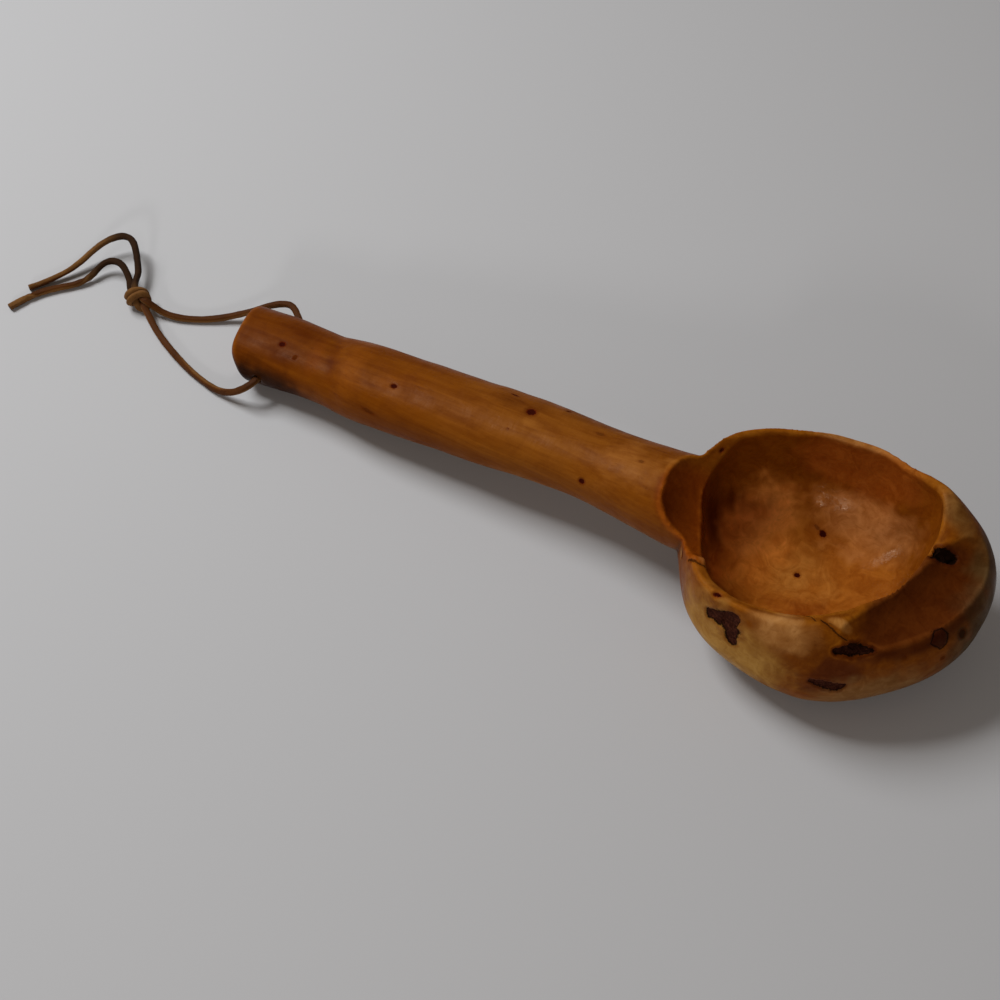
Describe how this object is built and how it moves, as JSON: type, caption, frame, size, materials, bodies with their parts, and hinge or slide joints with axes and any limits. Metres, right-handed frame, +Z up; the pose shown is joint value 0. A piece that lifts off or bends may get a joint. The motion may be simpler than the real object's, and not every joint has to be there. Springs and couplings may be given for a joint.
{
  "type": "ladle",
  "caption": "Carved burl ladle with a deep round bowl, a straight rounded handle and a knotted leather thong through a crosswise hole near its butt.",
  "frame": {"origin": "centre of the flat spot under the bowl, on the surface that the ladle lies on", "axes": "+X from the handle's butt to the bowl, +Y to the bowl's thin-rimmed side, +Z up"},
  "size_m": [0.4935, 0.1122, 0.0591],
  "materials": {
    "burl_wood": "hand-worked, oiled to a soft sheen, with dark knots and bark inclusions",
    "leather_lace": "tan lace, smooth on its outer side and dull on its cut sides"
  },
  "bodies": {
    "ladle": {"ladle_body": "burl_wood"},
    "thong": {"thong_bore_stretch": "leather_lace", "thong_front_leg": "leather_lace", "thong_back_leg": "leather_lace", "thong_knot": "leather_lace", "thong_long_tail": "leather_lace", "thong_short_tail": "leather_lace"}
  },
  "joints": [
    {"name": "thong_swing", "type": "hinge", "parent": "ladle", "child": "thong", "pos_m": [-0.285, 0, 0.0135], "axis": [0, 1, 0], "range_deg": [-155, 160]}
  ]
}
